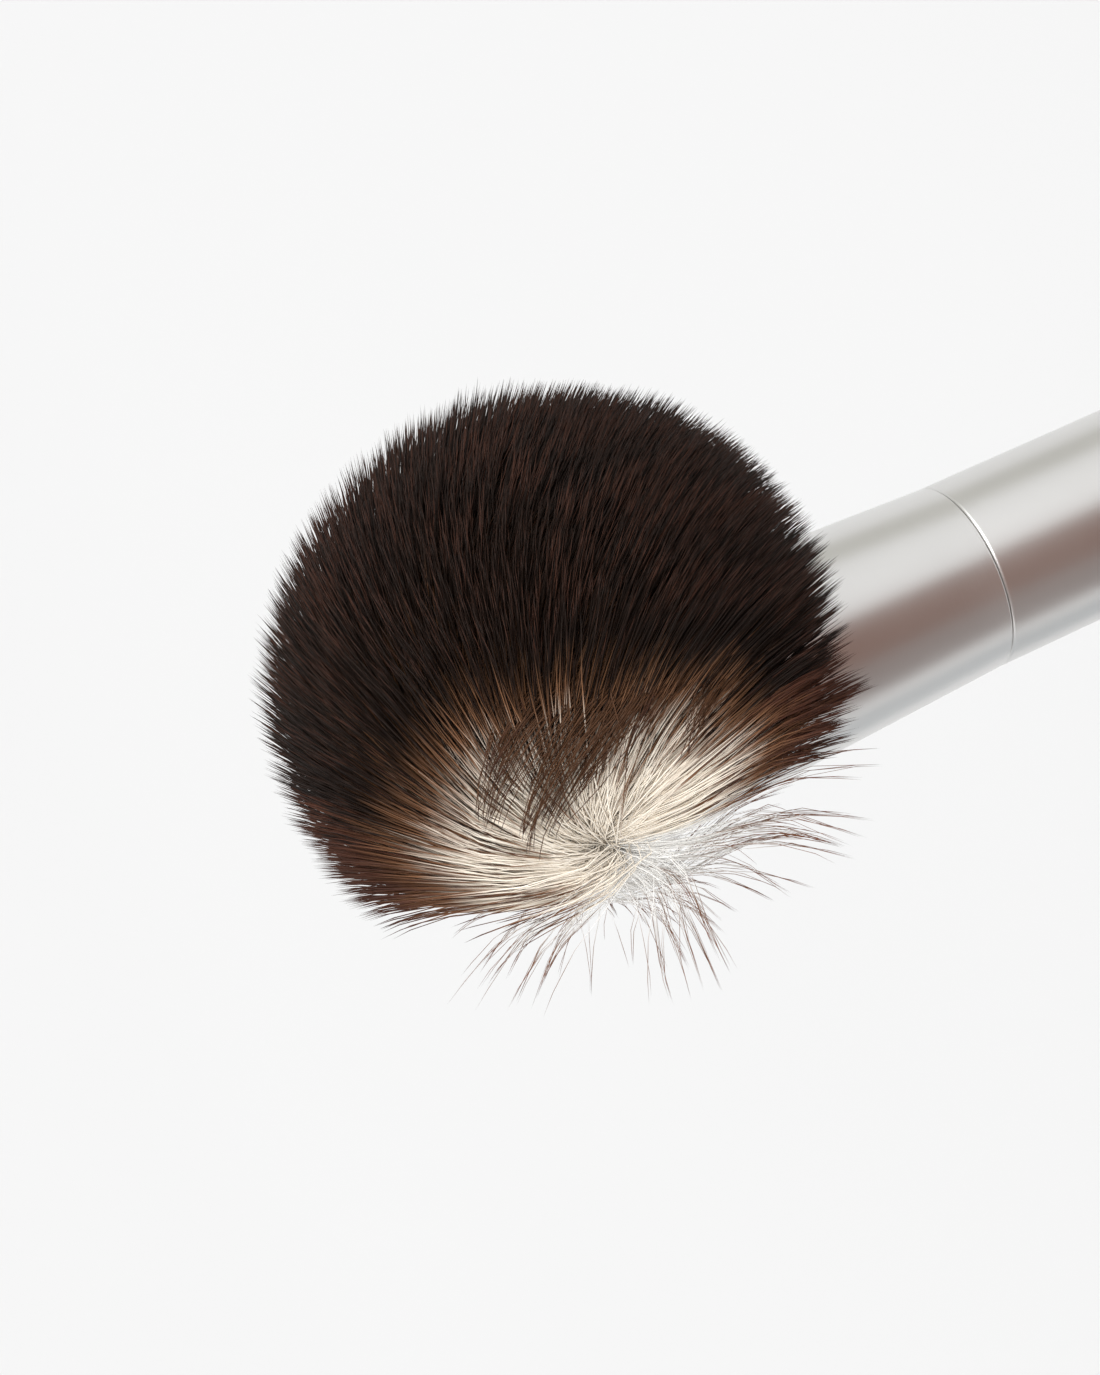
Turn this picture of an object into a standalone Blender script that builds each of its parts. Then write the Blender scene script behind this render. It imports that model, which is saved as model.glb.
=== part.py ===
"""Angled blush brush, modelled for Blender 4.5 in metres with +Z up.

The brush stands on its flat butt: the origin is the centre of that face, +Z runs along the
brush to the hair, +X is the long side of the slanted tuft, and the tuft is parted towards
-X and -Y. Every sub-part is one closed object of the same name as the real piece.
Run it with blender --background --python part.py, or from Blender's text editor.
"""

import math

import bmesh
import bpy
import numpy as np
from mathutils import Quaternion, Vector
from mathutils.geometry import delaunay_2d_cdt

MM = 0.001

# Fits between neighbouring pieces
CLEARANCE = 0.3 * MM
SEAM_GAP = 0.3 * MM

# Handle: a tapered aluminium tube over a wooden core
HANDLE_LENGTH = 118.0 * MM
HANDLE_SEAM_RADIUS = 6.8 * MM
HANDLE_BUTT_RADIUS = 6.2 * MM
TUBE_WALL = 0.8 * MM
TUBE_LIP_ROUNDING = 0.5 * MM

# End cap: a turned plug whose flange closes the tube
CAP_FLANGE_HEIGHT = 3.2 * MM
CAP_EDGE_ROUNDING = 0.7 * MM
CAP_SPIGOT_LENGTH = 6.0 * MM
CAP_GROOVE_DEPTH = 0.4 * MM
CAP_GROOVE_WIDTH = 1.2 * MM

# Balance weight: a steel slug between the cap and the core
WEIGHT_LENGTH = 24.0 * MM
WEIGHT_CHAMFER = 0.6 * MM

# Ferrule: a thin flared shell from the seam to the hair
FERRULE_LENGTH = 34.0 * MM
FERRULE_MOUTH_RADIUS = 8.45 * MM
FERRULE_WALL = 0.5 * MM
FERRULE_SEAM_ROUNDING = 0.2 * MM

# Tenon of the core, which carries the ferrule
TENON_LENGTH = 13.5 * MM
TENON_CHAMFER = 0.8 * MM
TENON_GROOVE_DEPTH = 0.5 * MM
TENON_GROOVE_WIDTH = 1.4 * MM
TENON_GROOVES = 2

# Cast root of the hair and the thread that ties it
TIE_TURNS = 5
TIE_THREAD_RADIUS = 0.35 * MM
TIE_BELOW_MOUTH = 8.0 * MM
SLICE_BELOW_MOUTH = 1.5 * MM
SLICE_THICKNESS = 1.4 * MM

# Hair: tips on a ball that leans to the long side and folds back over the ferrule
BALL_RADIUS = 20.3 * MM
BALL_LEAN = 5.2 * MM
BALL_BELOW_MOUTH = 3.2 * MM
DOME_SPREAD = 0.967
DOME_BELOW_MOUTH = 0.6 * MM
DOME_ANGLE = math.radians(62)
FOLD_LONG_SIDE = math.radians(152)
FOLD_SHORT_SIDE = math.radians(130)
PARTING_AZIMUTH = math.radians(224)
PARTING_PLACE = 0.66
PARTING_DEPTH = 0.24
PARTING_WIDTH = 0.4

# Strands: their number follows from the points that tile the bundle, and their sections
# shrink where the neighbours crowd
BARE_MARGIN = 0.75 * MM
BUNDLE_POINTS = 178
RIM_POINTS = 40
STRAND_FILL = 0.88
STRAND_BELLY = 0.75 * MM
STRAND_RINGS = (0.3, 0.55, 0.8)
STRAND_CROWDING = 0.32
STRAND_SLANT = 0.9
RUN_STEP = 0.08
LEAST_LIFT = 0.001

# Facets round each turned piece, and the angle from which an edge counts as sharp
OUTER_STEPS = 56
INNER_STEPS = 32
CORNER_POINTS = 4
LIP_POINTS = 6
SHARP_ANGLE = math.radians(35)

SEAM_HEIGHT = HANDLE_LENGTH + SEAM_GAP
MOUTH_HEIGHT = SEAM_HEIGHT + FERRULE_LENGTH
GOLDEN_ANGLE = math.pi * (3 - math.sqrt(5))


def clear_scene():
    """Remove every object, so that the model starts from an empty scene."""
    for obj in list(bpy.data.objects):
        bpy.data.objects.remove(obj, do_unlink=True)


def finish(name, colour, roughness, metallic):
    """A Principled BSDF material for one sub-part."""
    material = bpy.data.materials.new(name)
    material.use_nodes = True
    shader = material.node_tree.nodes["Principled BSDF"]
    shader.inputs["Base Color"].default_value = (*colour, 1.0)
    shader.inputs["Roughness"].default_value = roughness
    shader.inputs["Metallic"].default_value = metallic
    material.diffuse_color = (*colour, 1.0)
    return material


def add_object(name, mesh, material, collection):
    """Link a mesh as the sub-part's object, with its material."""
    obj = bpy.data.objects.new(name, mesh)
    mesh.materials.append(material)
    collection.objects.link(obj)
    return obj


def turned(name, profile, steps, material, collection, closed=False):
    """Turn a profile of (radius, height) points about Z.

    The points run down the outer side. A closed profile is a ring's section, and an open
    one starts and ends on the axis.
    """
    count = len(profile)
    edges = [(i, i + 1) for i in range(count - 1)]
    if closed:
        edges.append((count - 1, 0))
    mesh = bpy.data.meshes.new(name)
    mesh.from_pydata([(radius, 0, height) for radius, height in profile], edges, [])
    obj = add_object(name, mesh, material, collection)
    screw = obj.modifiers.new("turn", "SCREW")
    screw.steps = steps
    screw.render_steps = steps
    screw.use_merge_vertices = True
    screw.merge_threshold = 0.01 * MM
    return obj


def arc(centre_radius, centre_height, rounding, start, end, points=CORNER_POINTS):
    """Points of a rounded corner, between two angles in degrees from +radius towards +Z."""
    angles = np.radians(np.linspace(start, end, points))
    return [
        (centre_radius + rounding * math.cos(a), centre_height + rounding * math.sin(a))
        for a in angles
    ]


def handle_radius(height):
    """Outer radius of the handle, which tapers evenly from the seam to the butt."""
    share = height / HANDLE_LENGTH
    return HANDLE_BUTT_RADIUS + (HANDLE_SEAM_RADIUS - HANDLE_BUTT_RADIUS) * share


def tube_bore(height):
    """Inner radius of the handle tube."""
    return handle_radius(height) - TUBE_WALL


def ferrule_radius(height):
    """Outer radius of the ferrule, which flares evenly from the seam to its mouth."""
    share = (height - SEAM_HEIGHT) / FERRULE_LENGTH
    return HANDLE_SEAM_RADIUS + (FERRULE_MOUTH_RADIUS - HANDLE_SEAM_RADIUS) * share


def ferrule_bore(height):
    """Inner radius of the ferrule."""
    return ferrule_radius(height) - FERRULE_WALL


def groove(radius_at, centre_height, width, depth):
    """Points of a square groove in an outer side, from its top edge to its bottom edge."""
    top = centre_height + width / 2
    bottom = centre_height - width / 2
    floor = radius_at(centre_height) - depth
    return [(radius_at(top), top), (floor, top), (floor, bottom), (radius_at(bottom), bottom)]


def make_end_cap(collection):
    """The butt: a flange flush with the tube, its edge rounded, on a spigot with a glue groove."""
    material = finish("cap_aluminium", (0.62, 0.61, 0.6), 0.3, 1.0)
    spigot_top = CAP_FLANGE_HEIGHT + CAP_SPIGOT_LENGTH

    def spigot_radius(height):
        return tube_bore(height) - CLEARANCE

    corner = handle_radius(CAP_FLANGE_HEIGHT) - CAP_EDGE_ROUNDING
    profile = [
        (0, spigot_top),
        (spigot_radius(spigot_top), spigot_top),
        *groove(spigot_radius, spigot_top - CAP_SPIGOT_LENGTH / 2, CAP_GROOVE_WIDTH, CAP_GROOVE_DEPTH),
        (spigot_radius(CAP_FLANGE_HEIGHT), CAP_FLANGE_HEIGHT),
        (handle_radius(CAP_FLANGE_HEIGHT), CAP_FLANGE_HEIGHT),
        *arc(corner, CAP_EDGE_ROUNDING, CAP_EDGE_ROUNDING, 0, -90, LIP_POINTS),
        (0, 0),
    ]
    return turned("end_cap", profile, OUTER_STEPS, material, collection)


def make_balance_weight(collection):
    """A chamfered steel slug that rests on the cap's spigot, low in the tube."""
    material = finish("weight_steel", (0.36, 0.36, 0.37), 0.45, 1.0)
    bottom = CAP_FLANGE_HEIGHT + CAP_SPIGOT_LENGTH + CLEARANCE
    top = bottom + WEIGHT_LENGTH
    radius = tube_bore(bottom) - CLEARANCE
    profile = [
        (0, top),
        (radius - WEIGHT_CHAMFER, top),
        (radius, top - WEIGHT_CHAMFER),
        (radius, bottom + WEIGHT_CHAMFER),
        (radius - WEIGHT_CHAMFER, bottom),
        (0, bottom),
    ]
    return turned("balance_weight", profile, INNER_STEPS, material, collection)


def make_handle_tube(collection):
    """The tapered sleeve that the fingers hold, with a rounded lip at the seam."""
    material = finish("tube_aluminium", (0.6, 0.58, 0.57), 0.32, 1.0)
    bottom = CAP_FLANGE_HEIGHT + CLEARANCE
    top = HANDLE_LENGTH
    lip_centre = handle_radius(top) - TUBE_LIP_ROUNDING
    profile = [
        (tube_bore(top), top),
        *arc(lip_centre, top - TUBE_LIP_ROUNDING, TUBE_LIP_ROUNDING, 90, 0),
        (handle_radius(bottom), bottom),
        (tube_bore(bottom), bottom),
    ]
    return turned("handle_tube", profile, OUTER_STEPS, material, collection, closed=True)


def make_handle_core(collection):
    """The beech dowel inside the tube, whose grooved tenon carries the ferrule."""
    material = finish("core_beech", (0.55, 0.38, 0.22), 0.6, 0.0)
    bottom = CAP_FLANGE_HEIGHT + CAP_SPIGOT_LENGTH + WEIGHT_LENGTH + 2 * CLEARANCE
    tenon_top = SEAM_HEIGHT + TENON_LENGTH

    def tenon_radius(height):
        return HANDLE_SEAM_RADIUS - FERRULE_WALL - CLEARANCE

    grooves = []
    for number in range(TENON_GROOVES, 0, -1):
        height = SEAM_HEIGHT + TENON_LENGTH * number / (TENON_GROOVES + 1)
        grooves += groove(tenon_radius, height, TENON_GROOVE_WIDTH, TENON_GROOVE_DEPTH)
    profile = [
        (0, tenon_top),
        (tenon_radius(tenon_top) - TENON_CHAMFER, tenon_top),
        (tenon_radius(tenon_top), tenon_top - TENON_CHAMFER),
        *grooves,
        (tenon_radius(SEAM_HEIGHT), SEAM_HEIGHT),
        (tube_bore(SEAM_HEIGHT) - CLEARANCE, SEAM_HEIGHT),
        (tube_bore(bottom) - CLEARANCE, bottom),
        (0, bottom),
    ]
    return turned("handle_core", profile, INNER_STEPS, material, collection)


def make_ferrule(collection):
    """The flared shell round the hair's root, with a full-round lip at the mouth."""
    material = finish("ferrule_aluminium", (0.68, 0.68, 0.67), 0.3, 1.0)
    lip = FERRULE_WALL / 2
    lip_height = MOUTH_HEIGHT - lip
    rounding = FERRULE_SEAM_ROUNDING
    profile = [
        *arc(ferrule_radius(lip_height) - lip, lip_height, lip, 180, 0, LIP_POINTS),
        *arc(ferrule_radius(SEAM_HEIGHT) - rounding, SEAM_HEIGHT + rounding, rounding, 0, -90),
        (ferrule_bore(SEAM_HEIGHT), SEAM_HEIGHT),
    ]
    return turned("ferrule", profile, OUTER_STEPS, material, collection, closed=True)


def make_root_resin(collection):
    """The casting that bonds the hair's root in the ferrule, waisted where the thread ties it."""
    material = finish("cast_resin", (0.72, 0.66, 0.5), 0.35, 0.0)
    top = MOUTH_HEIGHT - SLICE_BELOW_MOUTH - SLICE_THICKNESS - CLEARANCE
    bottom = SEAM_HEIGHT + TENON_LENGTH + CLEARANCE

    def resin_radius(height):
        return ferrule_bore(height) - CLEARANCE

    tie_height = MOUTH_HEIGHT - TIE_BELOW_MOUTH
    waist_width = 2 * TIE_TURNS * TIE_THREAD_RADIUS + 2 * CLEARANCE
    waist_depth = 2 * TIE_THREAD_RADIUS + CLEARANCE
    profile = [
        (0, top),
        (resin_radius(top), top),
        *groove(resin_radius, tie_height, waist_width, waist_depth),
        (resin_radius(bottom), bottom),
        (0, bottom),
    ]
    return turned("root_resin", profile, INNER_STEPS, material, collection)


def make_root_tie(collection):
    """The binding thread in the casting's waist: a ring whose outer side shows each turn."""
    material = finish("binding_thread", (0.8, 0.78, 0.72), 0.8, 0.0)
    tie_height = MOUTH_HEIGHT - TIE_BELOW_MOUTH
    half_width = TIE_TURNS * TIE_THREAD_RADIUS
    inner = ferrule_bore(tie_height) - CLEARANCE - 2 * TIE_THREAD_RADIUS
    turn_centre = inner + TIE_THREAD_RADIUS
    profile = [(inner, tie_height + half_width)]
    for number in range(TIE_TURNS):
        height = tie_height + half_width - (2 * number + 1) * TIE_THREAD_RADIUS
        turn = arc(turn_centre, height, TIE_THREAD_RADIUS, 90, -90)
        profile += turn if number == 0 else turn[1:]
    profile.append((inner, tie_height - half_width))
    return turned("root_tie", profile, INNER_STEPS, material, collection, closed=True)


def unit(vectors):
    """Vectors scaled to length 1, and zero where they have none."""
    return vectors / np.maximum(np.linalg.norm(vectors, axis=-1, keepdims=True), 1e-12)


def opened(labels):
    """Labels pushed away from the parting, which leaves an oval hole round its middle.

    A label is a strand's place in the bundle, as X and Y over the bundle's radius. Each one
    slides straight away from the parting's middle, and the rim stays where it is.
    """
    axis = np.array([math.cos(PARTING_AZIMUTH), math.sin(PARTING_AZIMUTH)])
    middle = PARTING_PLACE * axis
    away = labels - middle
    reach = np.linalg.norm(away, axis=-1, keepdims=True)
    heading = unit(away)
    along = heading @ middle
    to_rim = (-along + np.sqrt(along**2 - middle @ middle + 1))[:, None]
    outwards = heading @ axis
    across = heading @ np.array([-axis[1], axis[0]])
    hole = 1 / np.hypot(outwards / PARTING_DEPTH, across / PARTING_WIDTH)[:, None]
    return middle + heading * (hole + (to_rim - hole) * reach / to_rim)


def strand_places(labels, share):
    """Where the strands are at one share of their length.

    At each share the strands' points lie on one curved sheet, and the sheets are nested, so
    that no strand crosses another. The sheet starts as the flat top of the slice, swells
    into a dome in the mouth, and grows from that dome into the ball of tips, which leans
    over and folds back round the ferrule.
    """
    lift = max(min(share / STRAND_RINGS[0], 1.0), LEAST_LIFT)
    growth = max(share - STRAND_RINGS[0], 0.0) / (1 - STRAND_RINGS[0])
    labels = labels + growth * (opened(labels) - labels)
    reach = np.linalg.norm(labels, axis=-1)
    heading = unit(labels)
    short_side = (1 - heading[:, 0]) / 2
    fold = FOLD_LONG_SIDE + (FOLD_SHORT_SIDE - FOLD_LONG_SIDE) * short_side
    widest = lift * DOME_ANGLE + growth * (fold - DOME_ANGLE)
    polar = np.arccos(1 - (1 - np.cos(widest)) * reach**2)
    dome_radius = DOME_SPREAD * bundle_radius() / math.sin(DOME_ANGLE)
    dome_reach = dome_radius * DOME_ANGLE
    slice_top = MOUTH_HEIGHT - SLICE_BELOW_MOUTH
    if growth > 0:
        radius = dome_radius + growth * (BALL_RADIUS - dome_radius)
        below = DOME_BELOW_MOUTH + growth * (BALL_BELOW_MOUTH - DOME_BELOW_MOUTH)
        middle = np.array([growth * BALL_LEAN, 0, MOUTH_HEIGHT - below])
    else:
        radius = (bundle_radius() + lift * (dome_reach - bundle_radius())) / (lift * DOME_ANGLE)
        peak = slice_top + lift * (MOUTH_HEIGHT - DOME_BELOW_MOUTH + dome_radius - slice_top)
        middle = np.array([0, 0, peak - radius])
    level = np.sin(polar)[:, None] * heading
    return middle + radius * np.column_stack([level, np.cos(polar)])


def strand_runs(labels, share):
    """Which way the strands run at one share of their length."""
    return strand_places(labels, share + RUN_STEP) - strand_places(labels, share - RUN_STEP)


def slice_radius():
    """Radius of the slice of cast root, which fits the ferrule's bore at its lower face."""
    return ferrule_bore(MOUTH_HEIGHT - SLICE_BELOW_MOUTH - SLICE_THICKNESS) - CLEARANCE


def bundle_radius():
    """Radius of the part of the slice that the strands stand on."""
    return slice_radius() - BARE_MARGIN


def slice_cells():
    """Triangles that tile the slice: a sunflower of points across the bundle, and a ring at the rim."""
    points = []
    for number in range(BUNDLE_POINTS):
        reach = bundle_radius() * math.sqrt((number + 0.5) / BUNDLE_POINTS)
        angle = number * GOLDEN_ANGLE
        points.append(Vector((reach * math.cos(angle), reach * math.sin(angle))))
    for number in range(RIM_POINTS):
        angle = 2 * math.pi * number / RIM_POINTS
        points.append(Vector((slice_radius() * math.cos(angle), slice_radius() * math.sin(angle))))
    found = delaunay_2d_cdt([point / MM for point in points], [], [], 0, 1e-6)
    return [point * MM for point in found[0]], found[2]


def place_section(face, centre, size, start, turn):
    """Make a strand's newest face an even triangle round a centre, turned square to the strand."""
    for number, vert in enumerate(face.verts):
        angle = start + 2 * math.pi * number / 3
        offset = Vector((size * math.cos(angle), size * math.sin(angle), 0))
        vert.co = Vector(centre) + turn @ offset


def strand_sizes(places, runs):
    """How thick the strands are at one share of their length: their belly, or less in a crowd.

    A neighbour's distance counts mostly square to the strand, as the section lies that way.
    """
    apart = places[None] - places[:, None]
    heading = unit(runs)[:, None]
    along = (apart * heading).sum(-1, keepdims=True) * heading
    room = np.linalg.norm(apart - STRAND_SLANT * along, axis=-1)
    np.fill_diagonal(room, np.inf)
    return np.minimum(STRAND_BELLY, STRAND_CROWDING * room.min(1))


def raise_strand(form, cell, places, runs, sizes, tip):
    """Raise one strand from its cell, through its places to its tip.

    The section is carried along by the least turn from each run to the next, so that it
    doesn't twist.
    """
    bmesh.ops.inset_individual(form, faces=[cell], thickness=0.0, use_even_offset=False)
    top = cell
    size = STRAND_FILL * 2 * top.calc_area() / top.calc_perimeter()
    centre = top.calc_center_median()
    start = math.atan2(*(top.verts[0].co - centre).yx)
    turn = Quaternion()
    run = Vector((0, 0, 1))
    place_section(top, centre, size, start, turn)
    for place, next_run, next_size in zip(places, runs, sizes):
        top = bmesh.ops.extrude_discrete_faces(form, faces=[top])["faces"][0]
        next_run = Vector(next_run)
        turn = run.rotation_difference(next_run) @ turn
        run = next_run
        place_section(top, place, next_size, start, turn)
    bmesh.ops.poke(form, faces=[top])["verts"][0].co = tip


def make_hair_tuft(collection):
    """The splayed hair: three-sided strands raised from the cells of a slice of cast root."""
    material = finish("hair_brown", (0.05, 0.025, 0.017), 0.6, 0.0)
    slice_top = MOUTH_HEIGHT - SLICE_BELOW_MOUTH
    points, cells = slice_cells()

    form = bmesh.new()
    corners = [form.verts.new((point.x, point.y, slice_top)) for point in points]
    feet = []
    for cell in cells:
        face = form.faces.new([corners[i] for i in cell])
        if max(points[i].length for i in cell) < bundle_radius():
            feet.append(face)
    rim = [edge for edge in form.edges if edge.is_boundary]
    walls = bmesh.ops.extrude_edge_only(form, edges=rim)["geom"]
    lowered = {item for item in walls if isinstance(item, bmesh.types.BMVert)}
    bmesh.ops.translate(form, verts=list(lowered), vec=(0, 0, -SLICE_THICKNESS))
    wall_edges = [item for item in walls if isinstance(item, bmesh.types.BMEdge)]
    lower_rim = [edge for edge in wall_edges if lowered.issuperset(edge.verts)]
    bmesh.ops.contextual_create(form, geom=lower_rim)

    labels = np.array([face.calc_center_median().xy for face in feet]) / bundle_radius()
    places = np.stack([strand_places(labels, share) for share in STRAND_RINGS], 1)
    runs = np.stack([strand_runs(labels, share) for share in STRAND_RINGS], 1)
    rings = range(len(STRAND_RINGS))
    sizes = np.stack([strand_sizes(places[:, ring], runs[:, ring]) for ring in rings], 1)
    for face, *strand in zip(feet, places, runs, sizes, strand_places(labels, 1.0)):
        raise_strand(form, face, *strand)
    bmesh.ops.recalc_face_normals(form, faces=form.faces)
    mesh = bpy.data.meshes.new("hair_tuft")
    form.to_mesh(mesh)
    form.free()
    return add_object("hair_tuft", mesh, material, collection)


def shade_round(obj):
    """Smooth shading, with the real edges kept sharp."""
    obj.data.shade_smooth()
    obj.data.set_sharp_from_angle(angle=SHARP_ANGLE)


def main():
    clear_scene()
    collection = bpy.data.collections.new("angled_blush_brush")
    bpy.context.scene.collection.children.link(collection)
    make_end_cap(collection)
    make_balance_weight(collection)
    make_handle_tube(collection)
    make_handle_core(collection)
    make_ferrule(collection)
    make_root_resin(collection)
    make_root_tie(collection)
    make_hair_tuft(collection)
    for obj in collection.objects:
        shade_round(obj)


main()
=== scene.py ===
"""Angled blush brush: the looks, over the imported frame.

Lengths are in metres. The brush stands on its butt with the hair up (+Z), the tuft leans to
+X, and its parting lies towards -X and -Y. The camera looks from -Y.
"""

import math

import bpy
import numpy as np
from bpy.props import FloatProperty, FloatVectorProperty, IntProperty, PointerProperty
from mathutils import Matrix, Vector


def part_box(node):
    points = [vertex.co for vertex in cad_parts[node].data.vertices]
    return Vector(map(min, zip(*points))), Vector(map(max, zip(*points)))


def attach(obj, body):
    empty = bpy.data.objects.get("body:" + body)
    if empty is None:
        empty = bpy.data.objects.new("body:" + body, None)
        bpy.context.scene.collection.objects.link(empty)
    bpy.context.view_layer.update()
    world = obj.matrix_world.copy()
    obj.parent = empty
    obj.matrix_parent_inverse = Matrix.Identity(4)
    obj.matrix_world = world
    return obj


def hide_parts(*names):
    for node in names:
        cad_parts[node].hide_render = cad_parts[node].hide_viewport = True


bl_info = {
    "name": "Angled Blush Brush",
    "version": (1, 0, 0),
    "blender": (4, 5, 0),
    "location": "3D View > Sidebar > Blush Brush",
    "description": "Builds the hair, metalwork and studio of a splayed angled blush brush",
    "category": "Add Mesh",
}

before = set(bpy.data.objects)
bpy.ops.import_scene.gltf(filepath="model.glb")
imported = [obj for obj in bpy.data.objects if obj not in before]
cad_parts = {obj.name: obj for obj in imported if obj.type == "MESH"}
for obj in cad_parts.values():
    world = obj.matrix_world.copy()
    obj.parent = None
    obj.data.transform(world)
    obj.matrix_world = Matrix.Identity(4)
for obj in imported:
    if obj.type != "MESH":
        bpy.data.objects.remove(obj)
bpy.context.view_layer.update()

MM = 0.001
UV_NAME = "OFBake"


def linear(code):
    """An sRGB hex code as linear red, green and blue."""
    parts = [int(code[i : i + 2], 16) / 255 for i in (1, 3, 5)]
    return tuple(c / 12.92 if c <= 0.04045 else ((c + 0.055) / 1.055) ** 2.4 for c in parts)


def colour(name, code, description):
    """A colour setting whose default is an sRGB hex code."""
    return FloatVectorProperty(
        name=name,
        description=description,
        default=linear(code),
        size=3,
        min=0,
        max=1,
        subtype="COLOR",
    )


def length(name, value, description):
    """A length setting in metres."""
    return FloatProperty(
        name=name,
        description=description,
        default=value,
        min=0,
        precision=5,
        subtype="DISTANCE",
        unit="LENGTH",
    )


class BLUSH_PG_hair(bpy.types.PropertyGroup):
    hairs: IntProperty(
        name="Hairs", description="Hairs rooted across the ferrule", default=36000, min=100
    )
    locks: IntProperty(
        name="Locks", description="Locks that the hairs gather into", default=2600, min=10
    )
    width: length("Hair width", 0.11 * MM, "Widest diameter of one hair")
    ball: length("Ball radius", 20.5 * MM, "Radius of the ball that the tips lie on")
    lean: length("Lean", 4.7 * MM, "How far the ball's centre stands towards the long side")
    root: colour("Root", "#FAF0E1", "Undyed cream hair near the ferrule")
    turning: colour("Turning", "#80593D", "Reddish brown where the cream ends")
    dark: colour("Dark", "#20150F", "Dark brown of the outer half")
    # Partly painted light: the fringe's root is the pale hair's own colour made near white, as if
    # light came through the thin hairs
    pale: colour("Pale root", "#FFFDF9", "Thin fringe hair, where the light comes through")
    russet: colour("Russet", "#4E2D20", "Reddish brown ends beside the parting")
    tip: colour("Tip", "#44291E", "Fine tips, where the brown looks redder")
    wisp: colour("Wisps", "#573A26", "Brown of the loose wisps over the parting")
    fringe: colour("Fringe ends", "#7A4A35", "Reddish ends of the thin fringe")


class BLUSH_PG_metal(bpy.types.PropertyGroup):
    tone: colour("Metal", "#E4E3E1", "Clear anodised aluminium")
    roughness: FloatProperty(
        name="Roughness",
        description="Roughness of the blasted surface",
        default=0.34,
        min=0,
        max=1,
        subtype="FACTOR",
    )
    around: IntProperty(
        name="Facets", description="Facets round each turned piece", default=240, min=24
    )


class BLUSH_PG_studio(bpy.types.PropertyGroup):
    floor: colour("Floor", "#DEDEDE", "Plain pale paper that the brush stands on")
    surround: colour("Surround", "#F6F6F6", "Plain pale surround")
    key: FloatProperty(
        name="Key", description="Strength of the soft key lamp", default=2.4, min=0
    )
    fill: FloatProperty(
        name="Fill", description="Strength of the fill lamp", default=1.3, min=0
    )
    ambient: FloatProperty(
        name="Ambient", description="Light from the surround", default=0.62, min=0
    )
    lens: FloatProperty(
        name="Lens", description="Focal length", default=157.09, min=1, unit="CAMERA"
    )


def wire(tree, made, sockets):
    """Set or link a node's input sockets, by name or number."""
    for key, value in sockets.items():
        if isinstance(value, bpy.types.NodeSocket):
            tree.links.new(value, made.inputs[key])
        else:
            made.inputs[key].default_value = value


def node(tree, kind, sockets=None, stops=(), **fields):
    """Add a shader node with its fields, its sockets, and a ramp's (place, linear colour) stops."""
    made = tree.nodes.new(kind)
    for field, value in fields.items():
        setattr(made, field, value)
    wire(tree, made, sockets or {})
    if stops:
        points = made.color_ramp.elements
        while len(points) < len(stops):
            points.new(0.5)
        for point, (place, tone) in zip(points, stops):
            point.position = place
            point.color = (*tone, 1.0)
    return made


def principled(name, **values):
    """A new material, its tree, and its Principled BSDF with these socket values."""
    material = bpy.data.materials.new(name)
    material.use_nodes = True
    tree = material.node_tree
    shader = tree.nodes["Principled BSDF"]
    for key, value in values.items():
        shader.inputs[key.replace("_", " ")].default_value = value
    return material, tree, shader


def shaded(tone, factor):
    """A linear colour made lighter or darker by a factor."""
    return tuple(min(c * factor, 1.0) for c in tone[:3])


def put(name, points, faces, material, maps=None):
    """A smooth mesh object from point and face arrays, with an optional corner map of (u, v)."""
    mesh = bpy.data.meshes.new(name)
    corners = np.concatenate([part.ravel() for part in faces]).astype(np.int32)
    sizes = np.concatenate([np.full(len(part), part.shape[1], np.int32) for part in faces])
    starts = np.concatenate([[0], np.cumsum(sizes)[:-1]]).astype(np.int32)
    mesh.vertices.add(len(points))
    mesh.vertices.foreach_set("co", np.ascontiguousarray(points, np.float32).ravel())
    mesh.loops.add(len(corners))
    mesh.loops.foreach_set("vertex_index", corners)
    mesh.polygons.add(len(sizes))
    mesh.polygons.foreach_set("loop_start", starts)
    mesh.update(calc_edges=True)
    if maps is not None:
        layer = mesh.uv_layers.new(name=UV_NAME)
        layer.data.foreach_set("uv", np.ascontiguousarray(maps, np.float32).ravel())
    mesh.validate()
    mesh.shade_smooth()
    mesh.materials.append(material)
    obj = bpy.data.objects.new(name, mesh)
    bpy.context.scene.collection.objects.link(obj)
    return obj


def turned(name, profile, around, material, closed=False):
    """A profile of (radius, height) points turned about Z: x = r cos a, y = r sin a, z = h.

    The points run down the outer side. A closed profile is a ring's section, and an open one
    starts and ends on the axis, where its rows close in fans.
    """
    profile = np.asarray(profile, float)
    angles = np.arange(around) * 2 * math.pi / around
    rows = profile if closed else profile[1:-1]
    radius, height = rows[:, :1], rows[:, 1:]
    grid = np.stack([radius * np.cos(angles), radius * np.sin(angles), height + 0 * angles], -1)
    points = grid.reshape(-1, 3)
    count = len(rows)
    here = np.arange(around)
    after = (here + 1) % around
    upper = np.arange(count if closed else count - 1)[:, None] * around
    lower = (upper + around) % (count * around)
    quads = np.stack([upper + here, lower + here, lower + after, upper + after], -1).reshape(-1, 4)
    faces = [quads]
    if not closed:
        points = np.vstack([points, [(0, 0, profile[0, 1]), (0, 0, profile[-1, 1])]])
        top = np.full(around, count * around)
        last = (count - 1) * around
        faces.append(np.stack([top, here, after], 1))
        faces.append(np.stack([top + 1, last + after, last + here], 1))
    obj = put(name, points, faces, material)
    obj.data.set_sharp_from_angle(angle=math.radians(40))
    return obj


def rounded(radius, height, rounding, start, end, count=10):
    """Points on a rounded corner's arc, between two angles in degrees from +radius towards +Z."""
    angles = np.radians(np.linspace(start, end, count))
    return list(zip(radius + rounding * np.cos(angles), height + rounding * np.sin(angles)))


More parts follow.
